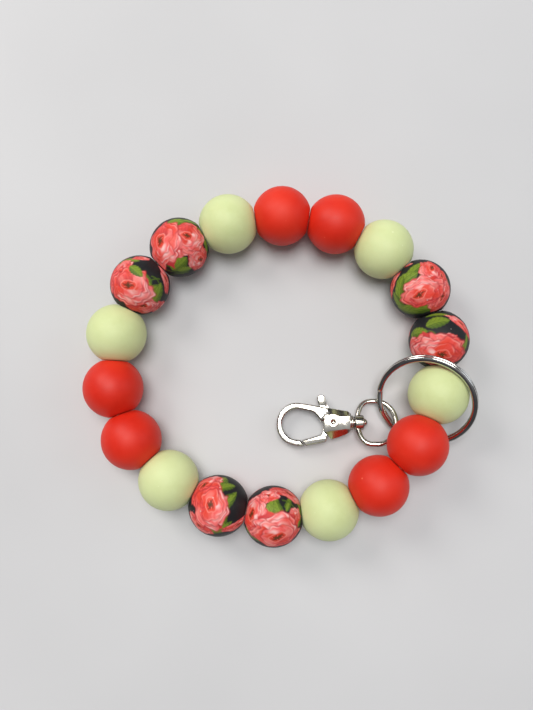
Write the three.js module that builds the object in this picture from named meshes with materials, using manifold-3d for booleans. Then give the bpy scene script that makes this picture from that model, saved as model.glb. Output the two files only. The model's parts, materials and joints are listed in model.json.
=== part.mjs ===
// Beaded wristlet key holder: silicone beads on an elastic loop, a split key ring
// round the string, and a swivel lobster clasp hanging from the key ring.
// Millimetres, +Z up, lying flat. The loop's middle is the working origin; the finished
// group is moved so that the middle of its bottom face is the origin.

import * as THREE from "three";
import { mergeVertices } from "three/addons/utils/BufferGeometryUtils.js";
import Module from "manifold-3d";

const wasm = await Module();
wasm.setup();

// ---------------------------------------------------------------- driving sizes

const BEAD_RADIUS = 7.5;
const BEAD_END_REACH = 6.7;
const BEAD_END_SLOPE = 11;
const BEAD_BORE = 1.3;
const BEAD_ARC_STEPS = 9;
const BEAD_SIDES = 18;
const BEAD_PATTERN = ["green", "red", "red", "green", "floral", "floral"];

const CORD_RADIUS = 0.5;
const CORD_SIDES = 6;
const CORD_STEPS = 126;
const CORD_STRAIGHT_HALF = 5.6;
const KNOT_BEAD = 13;
const KNOT_HALF_LENGTH = 1.5;
const KNOT_RADIUS = 0.95;
const KNOT_SIDES = 12;
const KNOT_ROWS = 8;

const RING_OUTER = 12.5;
const RING_WIRE_WIDE = 1.44;
const RING_COIL_HIGH = 0.98;
const RING_COIL_PITCH = 1.08;
const RING_CHAMFER = 0.26;
const RING_CROSSING = 28;
const RING_CROSSING_START = 118;
const RING_STEP = 8;
const RING_CENTRE = new THREE.Vector3(37.22, -9.23, 8.0);
const RING_TILT = 35.9;
const RING_UPHILL = 53.1;

const CLASP_PIVOT = new THREE.Vector3(14.3, -14.6, 2.3);
const CLASP_PITCH = 1.0;
const HOOK_HALF_DEPTH = 1.6;
const HOOK_EDGE = 0.4;
const HOUSING_HALF_DEPTH = 2.1;
const HOUSING_WALL_HALF = 1.2;
const SLOT_HALF = 0.78;
const AXIS_V = -0.2;
const COLLAR_START = 4.3;
const COLLAR_END = 5.3;
// The neck's turned shape: [distance past COLLAR_START, radius].
const COLLAR_PROFILE = [
  [-1, 0],
  [-1, 1.6],
  [0, 1.95],
  [0.25, 2.05],
  [0.5, 1.75],
  [0.7, 1.85],
  [1, 1.7],
  [1, 0],
];
// Outlines of the two side windows of the lever's slot.
const TAB_WINDOW = [
  [-2.0, 0.2],
  [1.9, 1.0],
  [1.3, 5.4],
  [-4.1, 5.4],
  [-3.9, 3.6],
];
const GATE_WINDOW = [
  [-6.0, 0.6],
  [-1.0, 1.0],
  [0.2, -2.0],
  [-0.7, -5.4],
  [-6.0, -5.4],
];
const PIN_HOLE_START = 3.5;

const RIVET_RADIUS = 0.62;
const RIVET_HOLE = 0.7;
const RIVET_HEAD = 1.35;
const RIVET_HEAD_HIGH = 0.17;
const RIVET_DIMPLE = 0.62;
const RIVET_DIMPLE_DEEP = 0.35;
const RIVET_SEAT = 0.02;
const RIVET_HEAD_EDGE = 0.1;
// How far a cutting tool runs past the rivet's middle, or past the end of a bore.
const CUT_HALF = 3;
const CUT_PAST = 1;

const LEVER_HALF = 0.62;
const HUB_RADIUS = 1.9;
const HUB_SLOT_RADIUS = 2.15;
const TAB_HALF = 1.0;
const TAB_EDGE = 0.2;
const GATE_BAR_EDGE = 0.2;
// The lever's two arms, from the hub to the thumb tab and to the gate bar.
const TAB_ARM = [
  [-1.8, 0.3],
  [-0.2, 1.7],
  [-1.6, 4.6],
  [-3.5, 4.9],
];
const GATE_ARM = [
  [-1.7, 0.2],
  [-2.7, -3.4],
  [-1.9, -4.0],
  [-0.9, -1.4],
];

const SPRING_WIRE = 0.13;
const SPRING_RADIUS = 1.15;
const SPRING_TURNS = 2.2;
const SPRING_PITCH = 0.31;
const SPRING_STEPS_PER_TURN = 14;
const SPRING_SIDES = 5;
const SPRING_LIFT = 0.21;
const SPRING_POCKET_IN = 0.92;
const SPRING_POCKET_OUT = 1.42;
const SPRING_POCKET_FLOOR = -0.3;

const EYE_START = 6.4;
const EYE_HALF_LONG = 5.0;
const EYE_HALF_WIDE = 5.74;
const EYE_SQUARENESS = 0.56;
const EYE_WIRE = 0.66;
const EYE_ROLL = 18;
const EYE_STEPS = 56;
const EYE_SIDES = 8;
const EYE_TANGENT_STEP = 0.02;
const BARREL_START = 5.6;
const BARREL_END = 8.05;
const BARREL_RADIUS = 1.9;
const BARREL_EDGE = 0.3;
const BARREL_BORE = 0.72;

const PIN_START = 3.6;
const PIN_RADIUS = 0.6;
const PIN_HEAD_START = 8.15;
const PIN_HEAD_RADIUS = 1.0;
const PIN_HEAD_HIGH = 0.85;
// The head's dome: [share of its height, share of its radius].
const PIN_HEAD_DOME = [
  [0, 1],
  [0.45, 0.88],
  [0.8, 0.55],
  [1, 0],
];

const ROUND_SIDES = 24;

// The cord's bends, one between each pair of beads, clockwise from the top left.
// The third number is the height: the cord rises over the key ring at beads 7 to 9.
const CORD_BENDS = [
  [-19.3, 33.9, 7.5],
  [-5.9, 37.9, 7.5],
  [8.2, 38.1, 7.5],
  [21.5, 33.6, 7.5],
  [32.7, 25.1, 7.5],
  [39.8, 13.1, 7.5],
  [41.7, -0.8, 7.5],
  [38.4, -14.3, 10.4],
  [30.3, -25.8, 10.4],
  [19.4, -34.3, 7.5],
  [5.9, -38.2, 7.5],
  [-8.1, -37.4, 7.5],
  [-21.4, -32.9, 7.5],
  [-32.9, -24.9, 7.5],
  [-40.3, -12.9, 7.5],
  [-42.4, 0.9, 7.5],
  [-39.0, 14.5, 7.5],
  [-30.8, 25.8, 7.5],
].map((p) => new THREE.Vector3(...p));

// ---------------------------------------------------------------- materials

const COLOURS = {
  red: { color: 0xd7321e, roughness: 0.62, metalness: 0 },
  green: { color: 0xcdd79b, roughness: 0.62, metalness: 0 },
  floral: { color: 0x2a2426, roughness: 0.62, metalness: 0 },
  cord: { color: 0xe8e6e0, roughness: 0.7, metalness: 0 },
  nickel: { color: 0xc9c6be, roughness: 0.18, metalness: 1 },
  steel: { color: 0xa6a6a4, roughness: 0.24, metalness: 1 },
  spring: { color: 0x8d8d8a, roughness: 0.35, metalness: 1 },
};

function material(kind) {
  return new THREE.MeshStandardMaterial(COLOURS[kind]);
}

function piece(name, geometry, kind) {
  const mesh = new THREE.Mesh(geometry, material(kind));
  mesh.name = name;
  return mesh;
}

// ---------------------------------------------------------------- solid helpers

const UP = new THREE.Vector3(0, 0, 1);
const rad = THREE.MathUtils.degToRad;

function weld(geometry) {
  const bare = new THREE.BufferGeometry();
  bare.setAttribute("position", geometry.getAttribute("position").clone());
  if (geometry.index) {
    bare.setIndex(geometry.index.clone());
  }
  return mergeVertices(bare, 1e-4);
}

function solid(geometry) {
  const welded = weld(geometry);
  return new wasm.Manifold(
    new wasm.Mesh({
      numProp: 3,
      vertProperties: new Float32Array(welded.getAttribute("position").array),
      triVerts: new Uint32Array(welded.index.array),
    }),
  );
}

function geometryOf(manifold) {
  const mesh = manifold.getMesh();
  const geometry = new THREE.BufferGeometry();
  geometry.setAttribute("position", new THREE.BufferAttribute(mesh.vertProperties, 3));
  geometry.setIndex(new THREE.BufferAttribute(mesh.triVerts, 1));
  geometry.computeVertexNormals();
  return geometry;
}

function signedVolume(points, index) {
  let sum = 0;
  for (let i = 0; i < index.length; i += 3) {
    const [a, b, c] = [points[index[i]], points[index[i + 1]], points[index[i + 2]]];
    sum += a.dot(b.clone().cross(c));
  }
  return sum / 6;
}

// Skins a row of equal loops of points. An open row gets a flat cap at each end.
function loft(rows, closed = false) {
  const count = rows[0].length;
  const points = rows.flat();
  const index = [];
  const spans = closed ? rows.length : rows.length - 1;
  for (let r = 0; r < spans; r += 1) {
    const low = r * count;
    const high = ((r + 1) % rows.length) * count;
    for (let i = 0; i < count; i += 1) {
      const j = (i + 1) % count;
      index.push(low + i, low + j, high + j);
      index.push(low + i, high + j, high + i);
    }
  }
  if (!closed) {
    const last = (rows.length - 1) * count;
    const flat = THREE.ShapeUtils.triangulateShape(flatten(rows[0]), []);
    for (const [a, b, c] of flat) {
      index.push(c, b, a);
      index.push(last + a, last + b, last + c);
    }
  }
  if (signedVolume(points, index) < 0) {
    index.reverse();
  }
  const geometry = new THREE.BufferGeometry();
  geometry.setAttribute(
    "position",
    new THREE.Float32BufferAttribute(points.flatMap((p) => p.toArray()), 3),
  );
  geometry.setIndex(index);
  geometry.computeVertexNormals();
  return geometry;
}

// The points of a flat loop, written in the loop's own plane.
function flatten(loop) {
  const middle = loop.reduce((s, p) => s.add(p), new THREE.Vector3()).divideScalar(loop.length);
  const across = loop[0].clone().sub(middle).normalize();
  const normal = new THREE.Vector3();
  for (let i = 0; i < loop.length; i += 1) {
    const a = loop[i].clone().sub(middle);
    const b = loop[(i + 1) % loop.length].clone().sub(middle);
    normal.add(a.cross(b));
  }
  const along = normal.normalize().cross(across);
  return loop.map((p) => {
    const d = p.clone().sub(middle);
    return new THREE.Vector2(d.dot(across), d.dot(along));
  });
}

function circleLoop(middle, across, along, radius, sides) {
  const loop = [];
  for (let i = 0; i < sides; i += 1) {
    const turn = (2 * Math.PI * i) / sides;
    const out = across.clone().multiplyScalar(radius * Math.cos(turn));
    loop.push(out.addScaledVector(along, radius * Math.sin(turn)).add(middle));
  }
  return loop;
}

// A turned solid about local X, from [distance along X, radius] pairs.
function turned(profile, sides = ROUND_SIDES) {
  const outline = profile.map(([x, r]) => new THREE.Vector2(r, x));
  const geometry = new THREE.LatheGeometry(outline, sides);
  geometry.rotateZ(-Math.PI / 2);
  return solid(geometry);
}

// A turned solid about local Z, from [height, radius] pairs.
function turnedUp(profile, sides = ROUND_SIDES) {
  const outline = profile.map(([z, r]) => new THREE.Vector2(r, z));
  const geometry = new THREE.LatheGeometry(outline, sides);
  geometry.rotateX(Math.PI / 2);
  return solid(geometry);
}

// A plain disc on the rivet's axis.
function disc(radius, half) {
  return turnedUp([
    [-half, 0],
    [-half, radius],
    [half, radius],
    [half, 0],
  ]);
}

function plate(outline, low, high) {
  const shape = new THREE.Shape(outline.map((p) => new THREE.Vector2(...p)));
  const geometry = new THREE.ExtrudeGeometry(shape, { depth: high - low, bevelEnabled: false });
  geometry.translate(0, 0, low);
  return solid(geometry);
}

// A flat bar of the given outline whose two faces are chamfered all round.
function bevelledPlate(shape, halfDepth, edge, curveSegments = 2) {
  const geometry = new THREE.ExtrudeGeometry(shape, {
    depth: 2 * (halfDepth - edge),
    bevelEnabled: true,
    bevelThickness: edge,
    bevelSize: edge,
    bevelOffset: -edge,
    bevelSegments: 1,
    curveSegments,
  });
  geometry.translate(0, 0, edge - halfDepth);
  return solid(geometry);
}

// ---------------------------------------------------------------- beads

// A ball whose two ends are very blunt cones, so that neighbours on the bent cord sit
// face to face. Its bore runs along local Y.
function beadGeometry() {
  const slope = rad(BEAD_END_SLOPE);
  const endAt = (r) => (BEAD_END_REACH - r * Math.sin(slope)) / Math.cos(slope);
  const rim = Math.acos(BEAD_END_REACH / BEAD_RADIUS) + slope;
  const profile = [[BEAD_BORE, -endAt(BEAD_BORE)]];
  for (let i = 0; i <= BEAD_ARC_STEPS; i += 1) {
    const turn = rim + ((Math.PI - 2 * rim) * i) / BEAD_ARC_STEPS;
    profile.push([BEAD_RADIUS * Math.sin(turn), -BEAD_RADIUS * Math.cos(turn)]);
  }
  profile.push([BEAD_BORE, endAt(BEAD_BORE)]);
  profile.push(profile[0]);
  const outline = profile.map(([r, y]) => new THREE.Vector2(r, y));
  return weld(new THREE.LatheGeometry(outline, BEAD_SIDES));
}

function beadEnds(i) {
  const from = CORD_BENDS[(i + CORD_BENDS.length - 1) % CORD_BENDS.length];
  return [from, CORD_BENDS[i]];
}

// Bead i sits half way between two bends of the cord, its bore along the cord.
function beads() {
  const group = new THREE.Group();
  const geometry = beadGeometry();
  geometry.computeVertexNormals();
  for (let i = 0; i < CORD_BENDS.length; i += 1) {
    const [from, to] = beadEnds((i + 1) % CORD_BENDS.length);
    const kind = BEAD_PATTERN[i % BEAD_PATTERN.length];
    const number = String(i + 1).padStart(2, "0");
    const mesh = piece(`bead_${number}_${kind}`, geometry, kind);
    mesh.position.copy(from).add(to).multiplyScalar(0.5);
    const along = to.clone().sub(from).normalize();
    mesh.quaternion.setFromUnitVectors(new THREE.Vector3(0, 1, 0), along);
    group.add(mesh);
  }
  return group;
}

// ---------------------------------------------------------------- elastic cord

// The whole loop of cord, straight inside every bore, with its two ends tied in a knot
// hidden in one bead's bore.
function cord() {
  const route = [];
  const count = CORD_BENDS.length;
  for (let k = 0; k < count; k += 1) {
    const [from, to] = beadEnds((KNOT_BEAD + k) % count);
    const middle = from.clone().add(to).multiplyScalar(0.5);
    const along = to.clone().sub(from).normalize();
    if (k > 0) {
      route.push(middle.clone().addScaledVector(along, -CORD_STRAIGHT_HALF));
    }
    route.push(middle.clone());
    route.push(middle.clone().addScaledVector(along, CORD_STRAIGHT_HALF));
  }
  const [from, to] = beadEnds(KNOT_BEAD % count);
  const knotAt = from.clone().add(to).multiplyScalar(0.5);
  const knotAlong = to.clone().sub(from).normalize();
  route[0].addScaledVector(knotAlong, KNOT_HALF_LENGTH / 4);
  route.push(knotAt.clone().addScaledVector(knotAlong, -CORD_STRAIGHT_HALF));
  route.push(knotAt.clone().addScaledVector(knotAlong, -KNOT_HALF_LENGTH / 4));
  const curve = new THREE.CatmullRomCurve3(route, false, "centripetal");
  const rows = [];
  for (let i = 0; i <= CORD_STEPS; i += 1) {
    const share = i / CORD_STEPS;
    const along = curve.getTangentAt(share);
    const across = along.clone().cross(UP).normalize();
    const over = across.clone().cross(along);
    rows.push(circleLoop(curve.getPointAt(share), across, over, CORD_RADIUS, CORD_SIDES));
  }
  const knot = new THREE.SphereGeometry(1, KNOT_SIDES, KNOT_ROWS);
  knot.scale(KNOT_RADIUS, KNOT_HALF_LENGTH, KNOT_RADIUS);
  knot.applyQuaternion(
    new THREE.Quaternion().setFromUnitVectors(new THREE.Vector3(0, 1, 0), knotAlong),
  );
  knot.translate(...knotAt.toArray());
  return piece("elastic_cord", geometryOf(solid(loft(rows)).add(solid(knot))), "cord");
}

// ---------------------------------------------------------------- split key ring

function ringSection() {
  const w = RING_WIRE_WIDE / 2;
  const h = RING_COIL_HIGH / 2;
  const c = RING_CHAMFER;
  return [
    [w, h - c],
    [w - c, h],
    [c - w, h],
    [-w, h - c],
    [-w, c - h],
    [c - w, -h],
    [w - c, -h],
    [w, c - h],
  ];
}

// Two flat coils of one wire: the lower coil climbs to the upper one at the crossing.
function keyRing() {
  const radius = RING_OUTER - RING_WIRE_WIDE / 2;
  const sweep = 720 - RING_CROSSING;
  const climbStart = 360 - RING_CROSSING;
  const steps = Math.round(sweep / RING_STEP);
  const section = ringSection();
  const rows = [];
  for (let i = 0; i <= steps; i += 1) {
    const turn = (sweep * i) / steps;
    const climb = THREE.MathUtils.smoothstep(turn, climbStart, 360);
    const height = RING_COIL_PITCH * (climb - 0.5);
    const around = rad(RING_CROSSING_START + RING_CROSSING + turn);
    const out = new THREE.Vector3(Math.cos(around), Math.sin(around), 0);
    const middle = out.clone().multiplyScalar(radius).addScaledVector(UP, height);
    rows.push(
      section.map(([r, z]) => middle.clone().addScaledVector(out, r).addScaledVector(UP, z)),
    );
  }
  const mesh = piece("split_key_ring", loft(rows), "steel");
  const uphill = rad(RING_UPHILL);
  const tilt = rad(RING_TILT);
  const high = new THREE.Vector3(
    Math.cos(tilt) * Math.cos(uphill),
    Math.cos(tilt) * Math.sin(uphill),
    Math.sin(tilt),
  );
  const level = new THREE.Vector3(-Math.sin(uphill), Math.cos(uphill), 0);
  const normal = high.clone().cross(level);
  mesh.quaternion.setFromRotationMatrix(new THREE.Matrix4().makeBasis(high, level, normal));
  mesh.position.copy(RING_CENTRE);
  return mesh;
}

// ---------------------------------------------------------------- clasp body

// The hook and the rim of the housing, outer line first, then the inside of the hook.
// Distances are from the rivet: first towards the eye, second across.
function hookShape() {
  const shape = new THREE.Shape();
  shape.moveTo(-8.25, -4.75);
  shape.lineTo(-7.45, -6.15);
  shape.lineTo(-8.8, -6.2);
  shape.splineThru([
    new THREE.Vector2(-10.0, -6.05),
    new THREE.Vector2(-11.5, -5.6),
    new THREE.Vector2(-12.9, -4.75),
    new THREE.Vector2(-13.85, -3.45),
    new THREE.Vector2(-14.35, -2.1),
    new THREE.Vector2(-14.5, -0.6),
    new THREE.Vector2(-14.25, 1.1),
    new THREE.Vector2(-13.6, 2.5),
    new THREE.Vector2(-12.4, 3.75),
    new THREE.Vector2(-11.1, 4.55),
    new THREE.Vector2(-9.8, 4.85),
    new THREE.Vector2(-8.3, 4.8),
    new THREE.Vector2(-6.3, 4.5),
    new THREE.Vector2(-4.4, 4.15),
  ]);
  shape.lineTo(-1.3, 3.6);
  shape.lineTo(-1.3, 1.2);
  shape.lineTo(-2.5, 0.2);
  shape.lineTo(-3.2, 0.4);
  shape.splineThru([
    new THREE.Vector2(-4.2, 1.6),
    new THREE.Vector2(-5.3, 2.5),
    new THREE.Vector2(-7.5, 3.05),
    new THREE.Vector2(-9.3, 3.35),
    new THREE.Vector2(-10.9, 2.95),
    new THREE.Vector2(-12.2, 1.9),
    new THREE.Vector2(-12.9, 0.6),
    new THREE.Vector2(-13.05, -0.9),
    new THREE.Vector2(-12.6, -2.4),
    new THREE.Vector2(-11.6, -3.65),
    new THREE.Vector2(-10.3, -4.45),
    new THREE.Vector2(-8.25, -4.75),
  ]);
  return shape;
}

// Housing corners: [wall u, wall v, face u, face v]. The faces are smaller than the walls.
const HOUSING_CORNERS = [
  [-2.4, -2.6, -2.3, -2.55],
  [-2.4, -0.7, -2.35, -0.6],
  [-3.1, 0.3, -2.35, 0.4],
  [-4.3, 1.7, -1.75, 1.05],
  [-4.5, 3.95, -1.15, 1.75],
  [-2.2, 3.75, -0.2, 2.05],
  [0.2, 3.35, 0.8, 1.85],
  [1.9, 3.05, 1.9, 1.4],
  [3.8, 2.75, 3.7, 1.55],
  [4.6, 2.1, 4.4, 1.6],
  [4.6, -2.35, 4.4, -1.9],
  [3.4, -3.2, 3.1, -1.85],
  [1.4, -3.95, 1.2, -2.15],
  [-0.4, -4.45, -0.5, -2.3],
  [-1.15, -3.75, -1.6, -2.6],
];

function housing() {
  const wall = (z) => HOUSING_CORNERS.map(([u, v]) => new THREE.Vector3(u, v, z));
  const face = (z) => HOUSING_CORNERS.map(([, , u, v]) => new THREE.Vector3(u, v, z));
  return solid(
    loft([
      face(-HOUSING_HALF_DEPTH),
      wall(-HOUSING_WALL_HALF),
      wall(HOUSING_WALL_HALF),
      face(HOUSING_HALF_DEPTH),
    ]),
  );
}

function collar() {
  const profile = COLLAR_PROFILE.map(([x, r]) => [COLLAR_START + x, r]);
  return turned(profile).translate([0, AXIS_V, 0]);
}

// The slot the gate lever turns in, open to the thumb tab's side and to the hook's side.
function leverSlot() {
  const hub = disc(HUB_SLOT_RADIUS, SLOT_HALF);
  const tabWindow = plate(TAB_WINDOW, -SLOT_HALF, SLOT_HALF);
  const gateWindow = plate(GATE_WINDOW, -SLOT_HALF, SLOT_HALF);
  return hub.add(tabWindow).add(gateWindow);
}

function claspBody() {
  const pinHole = turned([
    [PIN_HOLE_START, 0],
    [PIN_HOLE_START, PIN_RADIUS + RIVET_SEAT],
    [COLLAR_END + CUT_PAST, PIN_RADIUS + RIVET_SEAT],
    [COLLAR_END + CUT_PAST, 0],
  ]).translate([0, AXIS_V, 0]);
  const body = bevelledPlate(hookShape(), HOOK_HALF_DEPTH, HOOK_EDGE)
    .add(housing())
    .add(collar())
    .subtract(leverSlot())
    .subtract(disc(RIVET_HOLE, CUT_HALF))
    .subtract(pinHole);
  return piece("clasp_body", geometryOf(body), "nickel");
}

// ---------------------------------------------------------------- gate and its pivot

function gateBar() {
  const shape = new THREE.Shape();
  shape.moveTo(-7.95, -4.8);
  shape.lineTo(-3.05, -3.35);
  shape.lineTo(-2.8, -2.9);
  shape.lineTo(-1.5, -4.0);
  shape.lineTo(-1.75, -4.95);
  shape.lineTo(-4.0, -5.5);
  shape.lineTo(-7.1, -6.05);
  shape.closePath();
  return bevelledPlate(shape, HOOK_HALF_DEPTH, GATE_BAR_EDGE);
}

function thumbTab() {
  const shape = new THREE.Shape();
  shape.moveTo(-3.6, 4.35);
  shape.lineTo(-4.0, 5.9);
  shape.splineThru([
    new THREE.Vector2(-3.85, 6.55),
    new THREE.Vector2(-3.3, 6.9),
    new THREE.Vector2(-2.6, 6.9),
    new THREE.Vector2(-2.05, 6.45),
    new THREE.Vector2(-1.85, 5.9),
  ]);
  shape.lineTo(-1.45, 3.95);
  shape.closePath();
  return bevelledPlate(shape, TAB_HALF, TAB_EDGE);
}

// Gate bar, hub and thumb tab are one lever turning on the rivet.
function gateLever() {
  const tabArm = plate(TAB_ARM, -LEVER_HALF, LEVER_HALF);
  const gateArm = plate(GATE_ARM, -LEVER_HALF, LEVER_HALF);
  const springPocket = turnedUp([
    [SPRING_POCKET_FLOOR, SPRING_POCKET_IN],
    [SPRING_POCKET_FLOOR, SPRING_POCKET_OUT],
    [CUT_HALF, SPRING_POCKET_OUT],
    [CUT_HALF, SPRING_POCKET_IN],
    [SPRING_POCKET_FLOOR, SPRING_POCKET_IN],
  ]);
  const lever = disc(HUB_RADIUS, LEVER_HALF)
    .add(tabArm)
    .add(gateArm)
    .add(gateBar())
    .add(thumbTab())
    .subtract(disc(RIVET_HOLE, CUT_HALF))
    .subtract(springPocket);
  return piece("gate_lever", geometryOf(lever), "nickel");
}

// A headed rivet through both cheeks, seated just clear of them, dimpled at each end.
function gateRivet() {
  const seat = HOUSING_HALF_DEPTH + RIVET_SEAT;
  const top = seat + RIVET_HEAD_HIGH;
  const bottom = top - RIVET_DIMPLE_DEEP;
  const rivet = turnedUp([
    [-bottom, 0],
    [-top, RIVET_DIMPLE],
    [-top, RIVET_HEAD - RIVET_HEAD_EDGE],
    [-seat, RIVET_HEAD],
    [-seat, RIVET_RADIUS],
    [seat, RIVET_RADIUS],
    [seat, RIVET_HEAD],
    [top, RIVET_HEAD - RIVET_HEAD_EDGE],
    [top, RIVET_DIMPLE],
    [bottom, 0],
  ]);
  return piece("gate_rivet", geometryOf(rivet), "nickel");
}

// The torsion spring in the lever's hub, wound round the rivet.
function gateSpring() {
  const steps = Math.round(SPRING_TURNS * SPRING_STEPS_PER_TURN);
  const rows = [];
  for (let i = 0; i <= steps; i += 1) {
    const turn = (2 * Math.PI * SPRING_TURNS * i) / steps;
    const out = new THREE.Vector3(Math.cos(turn), Math.sin(turn), 0);
    const middle = out.clone().multiplyScalar(SPRING_RADIUS);
    middle.z = SPRING_POCKET_FLOOR + SPRING_LIFT + (SPRING_PITCH * SPRING_TURNS * i) / steps;
    rows.push(circleLoop(middle, out, UP, SPRING_WIRE, SPRING_SIDES));
  }
  return piece("gate_spring", loft(rows), "spring");
}

// ---------------------------------------------------------------- swivel

// The eye: a rounded D of wire through a barrel that turns on the swivel pin.
function swivelEye() {
  const rows = [];
  const lift = UP.clone();
  for (let i = 0; i < EYE_STEPS; i += 1) {
    const at = (turn) => {
      const c = Math.cos(turn);
      const reach = c < 0 ? -(Math.abs(c) ** EYE_SQUARENESS) : c;
      return new THREE.Vector3(
        EYE_START + EYE_HALF_LONG * (1 + reach),
        EYE_HALF_WIDE * Math.sin(turn),
        0,
      );
    };
    const turn = (2 * Math.PI * i) / EYE_STEPS;
    const along = at(turn + EYE_TANGENT_STEP).sub(at(turn - EYE_TANGENT_STEP)).normalize();
    rows.push(circleLoop(at(turn), along.cross(UP), lift, EYE_WIRE, EYE_SIDES));
  }
  const barrel = turned([
    [BARREL_START, 0],
    [BARREL_START, BARREL_RADIUS - BARREL_EDGE],
    [BARREL_START + BARREL_EDGE, BARREL_RADIUS],
    [BARREL_END - BARREL_EDGE, BARREL_RADIUS],
    [BARREL_END, BARREL_RADIUS - BARREL_EDGE],
    [BARREL_END, 0],
  ]);
  const bore = turned([
    [BARREL_START - CUT_PAST, 0],
    [BARREL_START - CUT_PAST, BARREL_BORE],
    [BARREL_END + CUT_PAST, BARREL_BORE],
    [BARREL_END + CUT_PAST, 0],
  ]);
  const eye = solid(loft(rows, true)).add(barrel).subtract(bore);
  const mesh = piece("swivel_eye", geometryOf(eye), "nickel");
  mesh.position.y = AXIS_V;
  mesh.rotation.x = -rad(EYE_ROLL);
  return mesh;
}

// The swivel pin: a shank pressed into the neck, with a domed head inside the eye.
function swivelPin() {
  const dome = PIN_HEAD_DOME.map(([rise, share]) => [
    PIN_HEAD_START + PIN_HEAD_HIGH * rise,
    PIN_HEAD_RADIUS * share,
  ]);
  const pin = turned([[PIN_START, 0], [PIN_START, PIN_RADIUS], [PIN_HEAD_START, PIN_RADIUS], ...dome]);
  const mesh = piece("swivel_pin", geometryOf(pin), "nickel");
  mesh.position.y = AXIS_V;
  return mesh;
}

function clasp() {
  const group = new THREE.Group();
  group.add(claspBody(), gateLever(), gateRivet(), gateSpring(), swivelEye(), swivelPin());
  group.position.copy(CLASP_PIVOT);
  group.rotation.y = -rad(CLASP_PITCH);
  return group;
}

// ---------------------------------------------------------------- whole object

function wristlet() {
  const inner = new THREE.Group();
  inner.add(beads(), cord(), keyRing(), clasp());
  const outer = new THREE.Group();
  outer.name = "beaded_wristlet";
  outer.add(inner);
  outer.updateMatrixWorld(true);
  const box = new THREE.Box3().setFromObject(inner, true);
  const middle = box.getCenter(new THREE.Vector3());
  inner.position.set(-middle.x, -middle.y, -box.min.z);
  outer.updateMatrixWorld(true);
  return outer;
}

export default wristlet();
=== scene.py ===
import json
import math

import bmesh
import bpy
import numpy as np
from mathutils import Euler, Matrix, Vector


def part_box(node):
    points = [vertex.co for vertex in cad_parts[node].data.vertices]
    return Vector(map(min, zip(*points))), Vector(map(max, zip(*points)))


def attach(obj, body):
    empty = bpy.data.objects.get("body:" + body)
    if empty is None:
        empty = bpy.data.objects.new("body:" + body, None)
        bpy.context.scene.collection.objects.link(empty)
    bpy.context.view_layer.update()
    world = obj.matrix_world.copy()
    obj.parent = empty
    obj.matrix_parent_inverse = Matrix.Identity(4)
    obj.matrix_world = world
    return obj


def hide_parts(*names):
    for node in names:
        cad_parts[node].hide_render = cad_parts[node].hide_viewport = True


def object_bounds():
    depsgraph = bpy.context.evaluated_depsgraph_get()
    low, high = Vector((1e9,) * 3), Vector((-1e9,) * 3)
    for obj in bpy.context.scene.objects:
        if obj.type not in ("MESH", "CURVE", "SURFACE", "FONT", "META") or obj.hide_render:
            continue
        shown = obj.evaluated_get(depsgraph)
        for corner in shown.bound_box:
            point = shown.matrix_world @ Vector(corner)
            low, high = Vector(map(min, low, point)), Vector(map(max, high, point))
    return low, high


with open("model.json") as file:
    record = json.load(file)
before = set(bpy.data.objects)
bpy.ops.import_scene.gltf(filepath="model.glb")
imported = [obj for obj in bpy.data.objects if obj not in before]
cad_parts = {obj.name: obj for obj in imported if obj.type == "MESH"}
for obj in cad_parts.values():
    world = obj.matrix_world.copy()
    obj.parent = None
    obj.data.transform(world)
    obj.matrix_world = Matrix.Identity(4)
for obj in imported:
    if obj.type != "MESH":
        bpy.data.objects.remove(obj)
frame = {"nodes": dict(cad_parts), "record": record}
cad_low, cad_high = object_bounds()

MM = 0.001
RECORD = frame["record"]
JOINTS = {j["name"]: j for j in RECORD["behaviour"]["joints"]}
BODY_OF = {n: b for b, nodes in RECORD["behaviour"]["bodies"].items() for n in nodes}


# ---------------------------------------------------------------- mesh helpers

def unit(v):
    v = np.asarray(v, float)
    return v / np.linalg.norm(v, axis=-1, keepdims=True)


def smoothstep(low, high, x):
    t = np.clip((x - low) / (high - low), 0, 1)
    return t * t * (3 - 2 * t)


def add_object(name, points, faces, smooth=True):
    """A mesh object from points in millimetres in the row frame."""
    mesh = bpy.data.meshes.new(name)
    mesh.from_pydata((np.asarray(points, float) * MM).tolist(), [], faces)
    mesh.polygons.foreach_set("use_smooth", [smooth] * len(mesh.polygons))
    mesh.update()
    made = bpy.data.objects.new(name, mesh)
    bpy.context.scene.collection.objects.link(made)
    return made


def grid_faces(rows, columns, close_rows=False, close_columns=True):
    r = np.arange(rows if close_rows else rows - 1)
    c = np.arange(columns if close_columns else columns - 1)
    r, c = np.meshgrid(r, c, indexing="ij")
    r2, c2 = (r + 1) % rows, (c + 1) % columns
    quads = np.stack([r * columns + c, r * columns + c2, r2 * columns + c2, r2 * columns + c], -1)
    return quads.reshape(-1, 4).tolist()


def outward(made):
    """Turns every face of a closed mesh outward."""
    work = bmesh.new()
    work.from_mesh(made.data)
    bmesh.ops.recalc_face_normals(work, faces=work.faces)
    work.to_mesh(made.data)
    work.free()
    return made


def skin(name, rows, closed=False):
    """Closed body through equal loops of points: a ring if closed, else capped by flat faces."""
    rows = np.asarray(rows, float)
    count, columns = rows.shape[:2]
    faces = grid_faces(count, columns, close_rows=closed)
    if not closed:
        faces.append(list(range(columns))[::-1])
        faces.append([(count - 1) * columns + i for i in range(columns)])
    return outward(add_object(name, rows.reshape(-1, 3), faces))


class Axes:
    """Local axes: turns local millimetres into millimetres in the row frame."""

    def __init__(self, origin, u, v, w):
        self.origin = np.asarray(origin, float)
        self.basis = np.array([unit(u), unit(v), unit(w)])

    def __call__(self, points):
        return np.asarray(points, float) @ self.basis + self.origin


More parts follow.
